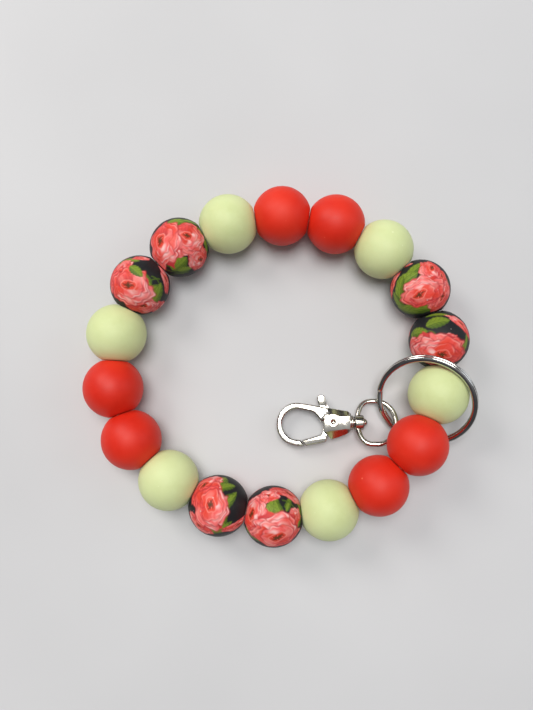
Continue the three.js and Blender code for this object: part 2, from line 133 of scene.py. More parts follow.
def turned(name, axes, profile, sides=96):
    """A turned body about the local u axis, from [distance along it, radius] pairs."""
    angle = np.linspace(0, 2 * math.pi, sides, endpoint=False)
    rows = []
    for along, radius in profile:
        ring = np.stack([np.full(sides, along), radius * np.cos(angle), radius * np.sin(angle)], -1)
        rows.append(axes(ring))
    return skin(name, rows)


def rounded(profile, radius, steps=4):
    """The same profile with each inner corner rounded."""
    out = [profile[0]]
    for i in range(1, len(profile) - 1):
        before, here, after = (np.asarray(profile[k], float) for k in (i - 1, i, i + 1))
        back, on = before - here, after - here
        reach = min(radius, 0.45 * np.linalg.norm(back), 0.45 * np.linalg.norm(on))
        a, b = here + unit(back) * reach, here + unit(on) * reach
        for t in np.linspace(0, 1, steps + 1):
            out.append((1 - t) ** 2 * a + 2 * t * (1 - t) * here + t * t * b)
    out.append(profile[-1])
    return [list(map(float, p)) for p in out]


def spline(points, per_span=8):
    """A smooth line through the points, ends included."""
    p = np.asarray(points, float)
    p = np.vstack([2 * p[0] - p[1], p, 2 * p[-1] - p[-2]])
    out = []
    for i in range(1, len(p) - 2):
        for t in np.linspace(0, 1, per_span, endpoint=False):
            a, b, c, d = p[i - 1], p[i], p[i + 1], p[i + 2]
            out.append(0.5 * (2 * b + (c - a) * t + (2 * a - 5 * b + 4 * c - d) * t * t
                              + (3 * b - a - 3 * c + d) * t ** 3))
    out.append(p[-2])
    return np.array(out)


def round_corners(corners, radius, steps=4):
    """A closed outline with its corners rounded."""
    c = np.asarray(corners, float)
    out = []
    for i in range(len(c)):
        back, on = c[i - 1] - c[i], c[(i + 1) % len(c)] - c[i]
        reach = min(radius, 0.42 * np.linalg.norm(back), 0.42 * np.linalg.norm(on))
        a, b = c[i] + unit(back) * reach, c[i] + unit(on) * reach
        for t in np.linspace(0, 1, steps + 1):
            out.append((1 - t) ** 2 * a + 2 * t * (1 - t) * c[i] + t * t * b)
    return np.array(out)


def inset(outline, by):
    """The outline moved inward by a distance, corner by corner."""
    p = np.asarray(outline, float)
    area = 0.5 * np.sum(p[:, 0] * np.roll(p[:, 1], -1) - np.roll(p[:, 0], -1) * p[:, 1])
    along_in, along_out = unit(p - np.roll(p, 1, 0)), unit(np.roll(p, -1, 0) - p)
    normal = np.stack([-(along_in + along_out)[:, 1], (along_in + along_out)[:, 0]], -1)
    normal = unit(normal) * (1 if area > 0 else -1)
    side = np.stack([-along_in[:, 1], along_in[:, 0]], -1) * (1 if area > 0 else -1)
    stretch = np.clip(np.sum(normal * side, -1), 0.6, 1)
    return p + normal * (by / stretch)[:, None]


def bar(name, axes, outline, half, edge, steps=4):
    """A flat bar of that outline with rounded edges on both faces."""
    rows = []
    for side in (-1, 1):
        turn = np.linspace(0, math.pi / 2, steps + 1) if edge else np.zeros(1)
        for t in turn if side < 0 else turn[::-1]:
            flat = inset(outline, edge * (1 - math.sin(t)))
            level = side * (half - edge + edge * math.cos(t))
            rows.append(axes(np.column_stack([flat, np.full(len(flat), level)])))
    return skin(name, rows)


def combine(name, adds, cuts=()):
    """One body: the union of adds less the cuts, shaded smooth except at its crisp edges."""
    base = adds[0]
    base.name = name
    for helper in list(adds[1:]) + list(cuts):
        change = base.modifiers.new("change", "BOOLEAN")
        change.operation = "DIFFERENCE" if helper in cuts else "UNION"
        change.solver = "EXACT"
        change.object = helper
        graph = bpy.context.evaluated_depsgraph_get()
        mesh = bpy.data.meshes.new_from_object(base.evaluated_get(graph))
        base.modifiers.clear()
        base.data = mesh
        bpy.data.objects.remove(helper)
        if not mesh.polygons:
            raise ValueError(f"a boolean left {name} empty")
    mesh.name = name
    mesh.polygons.foreach_set("use_smooth", [True] * len(mesh.polygons))
    mesh.set_sharp_from_angle(angle=math.radians(32))
    return base


def stand_for(made, node):
    """Ties a piece to the CAD node that it shows."""
    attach(made, BODY_OF[node])
    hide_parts(node)


# ---------------------------------------------------------------- materials

class Nodes:
    """A short way to write a material's node tree."""

    def __init__(self, name):
        self.material = bpy.data.materials.new(name)
        self.material.use_nodes = True
        self.tree = self.material.node_tree
        self.shader = self.tree.nodes["Principled BSDF"]
        self.place = self.add("ShaderNodeTexCoord").outputs["Object"]

    def add(self, kind, inputs=None, **settings):
        node = self.tree.nodes.new(kind)
        for key, value in settings.items():
            setattr(node, key, value)
        for key, value in (inputs or {}).items():
            if isinstance(value, bpy.types.NodeSocket):
                self.tree.links.new(value, node.inputs[key])
            else:
                node.inputs[key].default_value = value
        return node

    def noise(self, scale, detail=4.0, rough=0.55, stretch=None, lift=0.0):
        place = self.place
        if stretch:
            place = self.add("ShaderNodeMapping", {"Vector": place, "Scale": stretch}).outputs[0]
        return self.add("ShaderNodeTexNoise", {
            "Vector": place, "Scale": scale, "Detail": detail, "Roughness": rough,
            "Distortion": lift,
        }).outputs["Fac"]

    def ramp(self, value, stops):
        node = self.add("ShaderNodeValToRGB", {"Fac": value})
        element = node.color_ramp.elements
        while len(element) < len(stops):
            element.new(0.5)
        for item, (at, colour) in zip(element, stops):
            item.position = at
            item.color = (*colour, 1) if len(colour) == 3 else colour
        return node.outputs["Color"]

    def span(self, value, low, high, from_low=0.0, from_high=1.0):
        return self.add("ShaderNodeMapRange", {
            "Value": value, "From Min": from_low, "From Max": from_high,
            "To Min": low, "To Max": high,
        }).outputs["Result"]

    def mix(self, share, a, b, blend="MIX"):
        node = self.add("ShaderNodeMix", data_type="RGBA", blend_type=blend)
        for key, value in ((0, share), (6, a), (7, b)):
            if isinstance(value, bpy.types.NodeSocket):
                self.tree.links.new(value, node.inputs[key])
            else:
                node.inputs[key].default_value = value if key == 0 else (*value, 1)
        return node.outputs[2]

    def maths(self, operation, a, b):
        return self.add("ShaderNodeMath", {0: a, 1: b}, operation=operation).outputs[0]

    def bump(self, height, strength, distance, below=None):
        inputs = {"Height": height, "Strength": strength, "Distance": distance * MM}
        if below is not None:
            inputs["Normal"] = below
        return self.add("ShaderNodeBump", inputs).outputs["Normal"]

    def set(self, **sockets):
        names = {
            "colour": "Base Color", "roughness": "Roughness", "normal": "Normal",
            "metallic": "Metallic", "ior": "IOR", "specular": "Specular IOR Level",
            "sheen": "Sheen Weight", "sheen_rough": "Sheen Roughness",
            "sheen_tint": "Sheen Tint", "coat": "Coat Weight", "coat_rough": "Coat Roughness",
            "depth": "Subsurface Weight", "depth_radius": "Subsurface Radius",
            "depth_scale": "Subsurface Scale", "tint": "Specular Tint",
            "anisotropic": "Anisotropic",
        }
        for key, value in sockets.items():
            socket = self.shader.inputs[names[key]]
            if isinstance(value, bpy.types.NodeSocket):
                self.tree.links.new(value, socket)
            else:
                socket.default_value = value
        return self.material


def linear(rgb):
    c = np.asarray(rgb, float) / 255
    return np.where(c <= 0.04045, c / 12.92, ((c + 0.055) / 1.055) ** 2.4)


def tone(r, g, b):
    return tuple(float(x) for x in linear((r, g, b)))


def silicone(name, middle, dark, light, glow, painted=False):
    """Soft matt silicone: mottled colour, a dry sheen, pores, and a few specks of dust."""
    n = Nodes(name)
    broad = n.noise(90, 3, 0.5)
    fine = n.noise(900, 4, 0.6)
    if painted:
        ink = n.add("ShaderNodeAttribute", attribute_name="paint").outputs["Color"]
        worn = n.span(fine, 0.0, 0.05, 0.5, 0.8)
        colour = n.mix(worn, ink, light)
        colour = n.mix(n.span(broad, 0.0, 0.12, 0.35, 0.75), colour, dark)
    else:
        colour = n.ramp(broad, [(0.30, dark), (0.5, middle), (0.72, light)])
        colour = n.mix(n.span(fine, 0.0, 0.22, 0.4, 0.75), colour, light)
    speck = n.add("ShaderNodeTexVoronoi", {
        "Vector": n.place, "Scale": 420.0, "Randomness": 1.0,
    }).outputs["Distance"]
    rare = n.noise(160, 2, 0.5)
    dust = n.maths("MULTIPLY", n.span(speck, 1, 0, 0.06, 0.11), n.span(rare, 0, 1, 0.56, 0.62))
    dust = n.maths("MULTIPLY", dust, 0.45)
    colour = n.mix(dust, colour, glow)
    pores = n.noise(3200, 3, 0.6)
    skin_height = n.maths("ADD", n.maths("MULTIPLY", pores, 0.5), n.maths("MULTIPLY", fine, 0.7))
    normal = n.bump(skin_height, 0.35, 0.03)
    rough = n.span(n.maths("ADD", broad, fine), 0.46, 0.60, 0.7, 1.3)
    return n.set(
        colour=colour, roughness=rough, normal=normal, ior=1.43,
        specular=0.36 if painted else 0.5, sheen=0.02 if painted else 0.06, sheen_rough=0.45,
        sheen_tint=(*glow, 1), depth=0.0 if painted else 0.06,
        depth_radius=(1.0, 0.6, 0.4), depth_scale=0.6 * MM,
    )


def plated(name, base, shade, rough_low, rough_high, scratch=0.05, stretch=(1, 1, 1),
           sides=None):
    """Polished plated metal: faint tarnish, finger smears, hairline scratches and dings.

    The side tone is painted shade and painted dark reflection: surfaces that turn away from the
    flat faces are darkened towards it, though the metal there is the same.
    """
    n = Nodes(name)
    broad = n.noise(260, 3, 0.5)
    smear = n.noise(700, 5, 0.6, stretch)
    colour = n.ramp(broad, [(0.3, shade), (0.62, base)])
    colour = n.mix(n.span(smear, 0.0, 0.22, 0.45, 0.75), colour, shade)
    # Painted shade: the further a surface turns away from the flat faces, the more it takes the
    # darker side tone.
    if sides:
        split = n.add("ShaderNodeSeparateXYZ", {
            "Vector": n.add("ShaderNodeTexCoord").outputs["Normal"],
        })
        flat = n.maths("ABSOLUTE", split.outputs["Z"], 0.0)
        colour = n.mix(n.span(flat, 0.85, 0.0, 0.25, 0.97), colour, sides)
    hair = n.noise(1500, 2, 0.5, (1.0, 14.0, 3.0))
    dings = n.add("ShaderNodeTexVoronoi", {
        "Vector": n.place, "Scale": 900.0, "Randomness": 1.0,
    }).outputs["Distance"]
    pits = n.span(dings, 1, 0, 0.05, 0.2)
    height = n.maths("SUBTRACT", hair, n.maths("MULTIPLY", pits, 0.25))
    normal = n.bump(height, scratch, 0.02)
    rough = n.span(n.maths("ADD", smear, broad), rough_low, rough_high, 0.7, 1.35)
    return n.set(colour=colour, metallic=1.0, roughness=rough, normal=normal)


def stretch_cord(name):
    """Clear white stretch cord: milky and glossy, with a fine bump."""
    n = Nodes(name)
    broad = n.noise(500, 3, 0.5)
    fine = n.noise(2600, 3, 0.6)
    colour = n.ramp(broad, [(0.3, tone(176, 172, 160)), (0.7, tone(226, 224, 214))])
    normal = n.bump(fine, 0.25, 0.02)
    rough = n.span(fine, 0.22, 0.42)
    return n.set(colour=colour, roughness=rough, normal=normal, ior=1.5, depth=0.25,
                 depth_radius=(1.0, 0.9, 0.8), depth_scale=0.4 * MM, sheen=0.05)


def table_top(name):
    """A plain pale matt surface."""
    n = Nodes(name)
    broad = n.noise(9, 3, 0.5)
    fine = n.noise(1400, 3, 0.6)
    colour = n.ramp(broad, [(0.3, tone(196, 196, 198)), (0.7, tone(205, 205, 207))])
    normal = n.bump(fine, 0.12, 0.05)
    return n.set(colour=colour, roughness=0.85, normal=normal, specular=0.2)


SILICONE = {
    "red": silicone("red_silicone", tone(216, 38, 14), tone(206, 32, 11), tone(224, 48, 24),
                    tone(255, 140, 110)),
    "green": silicone("green_silicone", tone(208, 218, 160), tone(200, 210, 150),
                      tone(215, 225, 170), tone(240, 246, 215)),
    "floral": silicone("floral_silicone", tone(40, 38, 42), tone(20, 20, 24),
                       tone(120, 112, 108), tone(205, 200, 196), painted=True),
}
# The nickel's side tone is painted shade and dark reflection on the clasp's side walls.
NICKEL = plated("polished_nickel", tone(232, 228, 218), tone(204, 198, 186), 0.09, 0.22,
                sides=tone(112, 109, 104))
STEEL = plated("polished_steel", tone(216, 215, 212), tone(186, 185, 182), 0.05, 0.15,
               stretch=(1, 1, 6))
WIRE = plated("drawn_wire", tone(168, 167, 163), tone(128, 126, 120), 0.22, 0.4, scratch=0.12)


# ---------------------------------------------------------------- beads

BEAD_RADIUS = 7.5
BEAD_BORE = 1.3
CONTACT_GAP = 0.06
CONTACT_SOFTNESS = 90
BORE_STATIONS = (0.02, 0.25, 0.5, 0.75, 0.98)

BEAD_NAMES = sorted(n for n in frame["nodes"] if n.startswith("bead_"))


def bead_joint(node):
    joint = JOINTS["spin_" + "_".join(node.split("_")[:2])]
    return np.array(joint["pos_m"], float) / MM, unit(joint["axis"])


def bead_grid(node, steps):
    """Points on a ball pressed flat against its two neighbours, with its bore, and the
    direction of each point from the ball's middle. Rows run from one mouth to the other."""
    centre, axis = bead_joint(node)
    place = BEAD_NAMES.index(node)
    side = unit(np.cross(axis, [0, 0, 1]))
    up = np.cross(side, axis)
    faces = []
    for step in (-1, 1):
        other, _ = bead_joint(BEAD_NAMES[(place + step) % len(BEAD_NAMES)])
        reach = np.linalg.norm(other - centre) / 2 - CONTACT_GAP
        faces.append((unit(other - centre), reach))
    mouth = math.atan2(BEAD_BORE, faces[0][1])
    theta = np.linspace(mouth, math.pi - mouth, steps)
    phi = np.linspace(0, 2 * math.pi, 2 * steps, endpoint=False)
    theta, phi = np.meshgrid(theta, phi, indexing="ij")
    ray = (axis * np.cos(theta)[..., None]
           + side * (np.sin(theta) * np.cos(phi))[..., None]
           + up * (np.sin(theta) * np.sin(phi))[..., None])
    tight = np.full(theta.shape, BEAD_RADIUS ** -CONTACT_SOFTNESS)
    for normal, reach in faces:
        facing = np.clip(ray @ normal / reach, 0, None)
        tight = tight + facing ** CONTACT_SOFTNESS
    radius = tight ** (-1 / CONTACT_SOFTNESS)
    return centre, axis, ray, centre + ray * radius[..., None]


def make_bead(node, kind):
    steps = 132 if kind == "floral" else 72
    centre, _, ray, points = bead_grid(node, steps)
    bore = [points[0] * (1 - t) + points[-1] * t for t in BORE_STATIONS]
    lift = []
    for t, row in zip(BORE_STATIONS, bore):
        middle = row.mean(0)
        lift.append(middle + unit(row - middle) * BEAD_BORE)
    loops = np.concatenate([points, np.array(lift[::-1])])
    name = node + "_soft"
    made = outward(add_object(name, loops.reshape(-1, 3),
                              grid_faces(*loops.shape[:2], close_rows=True)))
    if kind == "floral":
        colours = paint_bead(node, centre, ray.reshape(-1, 3))
        inside = np.tile(linear((30, 28, 30)), (len(lift) * loops.shape[1], 1))
        colours = np.concatenate([colours, inside])
        layer = made.data.color_attributes.new("paint", "FLOAT_COLOR", "POINT")
        full = np.column_stack([colours, np.ones(len(colours))])
        layer.data.foreach_set("color", full.ravel())
    made.data.materials.append(SILICONE[kind])
    stand_for(made, node)
    return made


# ---------------------------------------------------------------- printed flowers

CAMERA_AT = np.array([-3.02, -8.72, 171.26])

# Each list is one bead's print: a flower or leaf, where it sits across and up the bead's
# face, how large it is, how it is turned, and for a flower where its eye and its lit side are.
PRINTS = {
    "bead_18_floral": [
        ("leaf", -0.05, 0.84, 0.40, 0.26, 8), ("leaf", 0.84, 0.30, 0.52, 0.15, 105),
        ("leaf", 0.36, 0.86, 0.34, 0.14, -25), ("leaf", 0.9, -0.1, 0.3, 0.1, 95),
        ("stem", -0.55, -0.72, 0.15, -0.86), ("stem", -0.5, -0.6, 0.05, -0.72),
        ("stem", -0.3, -0.9, 0.3, -0.8),
        ("leaf", 0.0, -0.56, 0.36, 0.28, 48), ("leaf", 0.2, -0.72, 0.26, 0.16, 20),
        ("rose", 0.66, -0.36, 0.46, -40, 0.8, 0.1, 0.15, -0.2, -0.3),
        ("rose", 0.02, 0.02, 0.34, 0, 0.9, 0, 0, 0.1, -0.2),
        ("rose", 0.36, 0.34, 0.52, 10, 0.95, -0.2, 0.2, 0.22, -0.34),
        ("rose", -0.50, 0.06, 0.70, 80, 0.78, 0.2, 0.30, -0.25, -0.40),
    ],
    "bead_17_floral": [
        ("leaf", -0.42, 0.78, 0.42, 0.19, 18), ("rose", 0.02, 0.9, 0.26, 0, 0.5, 0, 0, 0.2, 0),
        ("rose", 0.84, 0.22, 0.44, 100, 0.4, 0, 0, 0.3, 0.1),
        ("leaf", 0.17, 0.22, 0.32, 0.16, 125), ("leaf", 0.36, -0.12, 0.3, 0.13, 30),
        ("leaf", 0.56, -0.30, 0.42, 0.24, 75), ("stem", 0.2, 0.05, 0.62, 0.22),
        ("stem", 0.3, -0.06, 0.58, 0.0), ("stem", 0.36, 0.3, 0.6, 0.1),
        ("rose", 0.62, -0.74, 0.36, -30, 0.7, 0, 0, 0.2, 0.2),
        ("rose", 0.06, -0.70, 0.52, -20, 0.7, 0, 0.1, 0.2, 0.2),
        ("rose", -0.74, 0.28, 0.56, 70, 0.8, 0.1, 0, 0.2, -0.3),
        ("rose", -0.32, -0.14, 0.66, -35, 0.88, -0.2, 0.12, 0.34, -0.02),
        ("leaf", -0.14, 0.46, 0.30, 0.18, -40),
    ],
    "bead_05_floral": [
        ("leaf", -0.10, 0.70, 0.44, 0.20, 48), ("leaf", -0.46, 0.30, 0.46, 0.30, 40),
        ("leaf", -0.66, -0.02, 0.50, 0.24, 82), ("leaf", -0.70, -0.42, 0.42, 0.20, 115),
        ("leaf", 0.0, -0.64, 0.62, 0.26, 8), ("leaf", -0.42, -0.70, 0.40, 0.20, -22),
        ("leaf", 0.84, 0.24, 0.34, 0.14, 110), ("leaf", 0.06, 0.38, 0.24, 0.12, 70),
        ("rose", -0.9, 0.22, 0.44, 70, 0.36, 0, 0, 0.2, 0),
        ("rose", -0.38, 0.82, 0.14, 40, 0.5, 0, 0, 0.3, 0.1),
        ("rose", 0.66, 0.44, 0.38, 120, 0.6, 0, 0, 0.2, 0.2),
        ("rose", 0.34, 0.54, 0.46, 80, 0.72, 0.4, -0.2, -0.3, 0.2),
        ("rose", 0.70, -0.30, 0.52, 60, 0.68, 0.1, 0, 0.1, 0.3),
        ("rose", 0.12, -0.04, 0.66, 16, 0.66, -0.22, -0.2, -0.1, 0.36),
    ],
    "bead_06_floral": [
        ("leaf", -0.02, 0.60, 0.40, 0.24, 16), ("leaf", 0.04, 0.84, 0.46, 0.11, -3),
        ("leaf", -0.66, 0.26, 0.38, 0.20, 8), ("leaf", -0.86, 0.02, 0.3, 0.12, 80),
        ("leaf", 0.68, -0.30, 0.40, 0.20, 35), ("leaf", 0.88, -0.06, 0.36, 0.12, 80),
        ("stem", -0.34, 0.3, -0.1, 0.2), ("stem", -0.36, 0.22, -0.36, 0.02),
        ("rose", 0.74, 0.50, 0.52, 128, 0.34, 0, 0, 0.2, 0),
        ("rose", 0.30, -0.06, 0.32, 20, 0.7, 0.1, 0, -0.2, 0.2),
        ("rose", -0.64, -0.32, 0.54, 20, 0.8, 0.1, 0, -0.2, 0.2),
        ("rose", -0.02, -0.38, 0.74, -6, 0.74, 0.18, -0.2, -0.3, 0.05),
    ],
    "bead_12_floral": [
        ("leaf", 0.06, 0.70, 0.42, 0.28, 60), ("leaf", 0.30, 0.60, 0.3, 0.16, 10),
        ("leaf", 0.32, 0.10, 0.48, 0.17, 45), ("leaf", 0.12, -0.30, 0.36, 0.18, 100),
        ("leaf", -0.05, -0.80, 0.42, 0.16, 5), ("leaf", 0.2, -0.66, 0.30, 0.12, 40),
        ("stem", 0.1, -0.5, 0.42, -0.62), ("stem", 0.14, 0.2, 0.5, 0.34),
        ("rose", 0.62, -0.62, 0.50, 35, 0.36, 0, 0, 0.2, 0.1),
        ("rose", -0.62, -0.62, 0.46, 120, 0.6, 0, 0, 0.1, 0.2),
        ("rose", -0.50, 0.62, 0.56, 50, 0.66, 0.1, 0, 0.2, 0.1),
        ("rose", -0.34, -0.06, 0.68, 82, 0.80, 0.1, -0.12, -0.15, -0.34),
    ],
    "bead_11_floral": [
        ("leaf", -0.02, 0.26, 0.38, 0.24, 70), ("leaf", 0.16, 0.22, 0.34, 0.17, 110),
        ("leaf", 0.86, 0.3, 0.34, 0.12, 110), ("leaf", -0.64, -0.62, 0.42, 0.20, -45),
        ("leaf", 0.5, 0.4, 0.3, 0.12, 60), ("stem", 0.30, 0.5, 0.70, 0.20),
        ("stem", 0.36, 0.3, 0.6, 0.5), ("leaf", 0.84, -0.1, 0.3, 0.14, 80),
        ("rose", 0.50, 0.72, 0.56, -40, 0.42, 0, 0, 0.3, 0.1),
        ("rose", -0.18, 0.66, 0.34, 10, 0.7, 0, 0, 0.2, 0.2),
        ("rose", -0.5, 0.42, 0.36, 50, 0.7, 0, 0, 0.2, 0.2),
        ("rose", 0.66, -0.06, 0.34, 40, 0.75, 0, 0, 0.1, 0.2),
        ("rose", -0.66, -0.02, 0.60, 90, 0.76, 0.1, 0.1, 0.3, -0.2),
        ("rose", 0.12, -0.48, 0.72, 0, 0.80, 0.06, -0.36, -0.12, 0.26),
    ],
}

CORAL = (236, 82, 76)
PINK = (246, 112, 112)
BLUSH = (255, 168, 158)
PALE = (255, 222, 218)
SCARLET = (224, 56, 26)
CRIMSON = (168, 26, 40)
EYE_BROWN = (92, 44, 26)
OLIVE = (78, 104, 26)
LIME = (134, 156, 48)
MOSS = (44, 62, 18)
GROUND = (28, 29, 32)


class Painter:
    """Lays soft-edged shapes over the colours of points on a ball."""

    def __init__(self, rays, seed):
        self.rays = rays
        self.colour = np.tile(linear(GROUND), (len(rays), 1))
        self.random = np.random.default_rng(seed)

    def local(self, middle, turn, size):
        """Points near middle in its own flat axes, one unit being size ball radii."""
        near = np.nonzero(self.rays @ middle > math.cos(min(1.7 * size + 0.15, 1.5)))[0]
        across = np.cross([0.0, 1.0, 0.0], middle)
        across = unit(across) if np.linalg.norm(across) > 0.05 else np.array([1.0, 0, 0])
        along = np.cross(middle, across)
        x, y = self.rays[near] @ across, self.rays[near] @ along
        c, s = math.cos(math.radians(turn)), math.sin(math.radians(turn))
        return near, (x * c + y * s) / size, (y * c - x * s) / size

    def lay(self, where, rgb, share):
        share = np.clip(share, 0, 1)[:, None]
        ink = linear(rgb) if np.ndim(rgb) == 1 else rgb
        self.colour[where] = self.colour[where] * (1 - share) + ink * share

    def petal(self, where, x, y, spot, out_turn, long, wide, tones, soft, glow):
        """One petal: darker where it leaves the flower, with a thin bright curled rim."""
        c, s = math.cos(out_turn), math.sin(out_turn)
        a, b = (x - spot[0]) * c + (y - spot[1]) * s, (y - spot[1]) * c - (x - spot[0]) * s
        edge_turn = np.arctan2(b / wide, a / long)
        wave = 1 + 0.05 * np.sin(4 * edge_turn + 9 * spot[0]) \
            + 0.03 * np.sin(7 * edge_turn + 9 * spot[1])
        reach = np.sqrt((a / long) ** 2 + (b / wide) ** 2) / wave
        thin = soft / min(long, wide)
        outer = smoothstep(-0.5, 0.3, a / long)
        self.lay(where, CRIMSON, 0.75 * outer * smoothstep(1.22, 1.0, reach) * (reach > 0.9))
        cover = smoothstep(1.0 + thin, 1.0 - thin, reach)
        rise = np.clip(0.55 + 0.45 * a / long, 0, 1)[:, None]
        self.lay(where, linear(tones[0]) * (1 - rise) + linear(tones[1]) * rise, cover)
        streak = np.sin(23 * np.arctan2(b, a + 1.4 * long) + 11 * spot[0])
        self.lay(where, tones[0], 0.3 * cover * smoothstep(0.2, 0.9, streak))
        if glow:
            patch = smoothstep(0.75, 0.15, np.hypot((a - 0.2 * long) / long, 1.1 * b / wide))
            self.lay(where, tones[2], glow * cover * patch)
        rim = cover * outer * smoothstep(0.80, 0.95, reach)
        rim = rim * (0.5 + 0.5 * np.sin(3 * edge_turn + 13 * spot[0] + 7 * spot[1]))
        self.lay(where, tones[2], 0.7 * rim)

    def rose(self, middle, size, turn, flat, eye, lit):
        soft = 0.028 / size
        where, x, y = self.local(middle, turn, size)
        y = y / flat
        sway = self.random.uniform(0, 6, 4)
        x, y = (x + 0.06 * np.sin(6 * y + sway[0]) + 0.022 * np.sin(17 * y + sway[1]),
                y + 0.06 * np.sin(6 * x + sway[2]) + 0.022 * np.sin(17 * x + sway[3]))
        angle = np.arctan2(y, x)
        lobes = 1 + 0.10 * np.sin(5 * angle + self.random.uniform(0, 6)) \
            + 0.05 * np.sin(11 * angle + self.random.uniform(0, 6))
        far = np.hypot(x, y) / lobes
        self.lay(where, (205, 58, 62), smoothstep(1.0 + soft, 1.0 - soft, far))
        lit_turn = math.atan2(lit[1], lit[0])
        start = self.random.uniform(0, 6)
        rings = ((7, 0.66, 0.42, 0.42), (5, 0.50, 0.42, 0.58), (4, 0.32, 0.38, 0.50))
        for ring, (count, place, long, wide) in enumerate(rings):
            push = 0.35 + 0.3 * ring
            for k in range(count):
                around = start + 2 * math.pi * k / count + 0.6 * ring
                around = around + self.random.uniform(-0.2, 0.2)
                grow = self.random.uniform(0.88, 1.14)
                bright = math.cos(around - lit_turn) + self.random.uniform(-0.35, 0.35)
                if bright > 0.55:
                    tones, glow = (CORAL, PINK, PALE), 0.75
                elif bright > -0.1:
                    tones, glow = (SCARLET, PINK, BLUSH), 0.25
                elif bright > -0.6:
                    tones, glow = (SCARLET, CORAL, BLUSH), 0.0
                else:
                    tones, glow = (CRIMSON, CORAL, PINK), 0.0
                spot = (eye[0] * push + place * math.cos(around),
                        eye[1] * push + place * math.sin(around))
                self.petal(where, x, y, spot, around, long * grow, wide * grow, tones, soft, glow)
        wash = np.sin(4.1 * x + sway[1]) * np.sin(4.7 * y + sway[2])
        body = smoothstep(1.0 + soft, 1.0 - soft, far)
        self.lay(where, SCARLET, 0.5 * body * smoothstep(0.15, 0.8, wash))
        self.lay(where, BLUSH, 0.30 * body * smoothstep(0.25, 0.9, -wash))
        fx, fy = x - eye[0], (y - eye[1]) * 1.12
        for spread, rgb in ((0.36, BLUSH), (0.335, SCARLET), (0.27, CORAL), (0.25, SCARLET)):
            slip = 0.25 * (0.36 - spread)
            cup = np.hypot(fx - slip * math.cos(lit_turn), fy - slip * math.sin(lit_turn))
            self.lay(where, rgb, 0.9 * smoothstep(spread + soft, spread - soft, cup))
        cup = np.hypot(fx, fy)
        rays = np.sin(7 * np.arctan2(fy, fx) + 14 * cup + sway[0]) \
            * np.sin(3 * np.arctan2(fy, fx) + sway[3])
        self.lay(where, EYE_BROWN, 0.85 * smoothstep(0.26, 0.12, cup + 0.09 * rays))
        self.lay(where, MOSS, 0.6 * smoothstep(0.12, 0.05, cup + 0.04 * rays))
        self.lay(where, BLUSH, 0.5 * smoothstep(0.7, 0.95, rays) * smoothstep(0.25, 0.18, cup)
                 * smoothstep(0.06, 0.12, cup))

    def leaf(self, middle, long, wide, turn):
        where, x, y = self.local(middle, turn, long)
        soft = 0.045 / long
        ratio = wide / long
        edge = ratio * np.clip(1 - x * x, 0, 1) ** 0.62 * (1 - 0.18 * x)
        edge = edge * (1 + 0.05 * np.sin(19 * x))
        inside = smoothstep(0, soft, edge - np.abs(y)) * (np.abs(x) < 1)
        patch = 0.35 * np.sin(6 * x + 40 * y + 9 * middle[0]) * np.sin(9 * x - 3 * middle[1])
        share = np.clip(0.42 + 0.7 * y / ratio + patch, 0, 1)[:, None]
        ink = linear(OLIVE) * (1 - share) + linear(LIME) * share
        self.lay(where, ink, inside)
        veins = smoothstep(0.78, 0.98, np.cos((x - 1.1 * np.abs(y) / ratio * 0.5) * 16))
        self.lay(where, MOSS, inside * 0.35 * veins)
        self.lay(where, LIME, inside * 0.6 * smoothstep(soft, 0.0, np.abs(y)))
        self.lay(where, MOSS, inside * 0.5 * smoothstep(soft * 2.2, 0, edge - np.abs(y)))

    def stem(self, start, end):
        span = end - start
        length = np.linalg.norm(span)
        bend = np.cross(unit(start + end), unit(span)) * 0.12 * length
        rays = self.rays
        best = np.full(len(rays), 9.0)
        for t in np.linspace(0, 1, 40):
            dot = unit(start + span * t + bend * 4 * t * (1 - t))
            best = np.minimum(best, np.linalg.norm(rays - dot, axis=1))
        self.lay(np.arange(len(rays)), OLIVE, 0.75 * smoothstep(0.035, 0.015, best))


def paint_bead(node, centre, rays):
    """The printed roses: those on the face towards the viewer, then more on the far side."""
    view = unit(CAMERA_AT - centre)
    right = unit(np.cross([0.0, 1.0, 0.0], view))
    up = np.cross(view, right)
    facing = np.stack([rays @ right, rays @ up, rays @ view], -1)
    number = int(node.split("_")[1])
    painter = Painter(facing, 40 + number)

    def on_ball(x, y):
        flat = min(math.hypot(x, y), 0.995)
        scale = flat / max(math.hypot(x, y), 1e-6)
        return np.array([x * scale, y * scale, math.sqrt(max(1 - flat * flat, 0.01))])

    scatter = np.random.default_rng(300 + number)
    for k in range(9):
        around = k * 2.4 + scatter.uniform(-0.4, 0.4)
        drop = -0.25 - 0.72 * (k / 8)
        flat = math.sqrt(1 - drop * drop)
        spot = np.array([flat * math.cos(around), flat * math.sin(around), drop])
        if k % 2:
            painter.rose(spot, scatter.uniform(0.36, 0.52), scatter.uniform(0, 360),
                         scatter.uniform(0.7, 0.95), (0.1, 0.1), (0.3, -0.2))
        else:
            painter.leaf(spot, scatter.uniform(0.3, 0.45), scatter.uniform(0.13, 0.2),
                         scatter.uniform(0, 360))
    for item in PRINTS[node]:
        if item[0] == "rose":
            kind, x, y, size, turn, flat, ex, ey, lx, ly = item
            painter.rose(on_ball(x, y), size, turn, flat, (ex, ey), (lx, ly))
        elif item[0] == "leaf":
            kind, x, y, long, wide, turn = item
            painter.leaf(on_ball(x, y), long, wide, turn)
        else:
            kind, x, y, x2, y2 = item
            painter.stem(on_ball(x, y), on_ball(x2, y2))
    return painter.colour


for bead in BEAD_NAMES:
    make_bead(bead, bead.split("_")[-1])


# ---------------------------------------------------------------- elastic cord

CORD_RADIUS = 0.5
KNOT_WIDE = 0.68
KNOT_BULGE = 0.3
KNOT_WIRE = 0.25


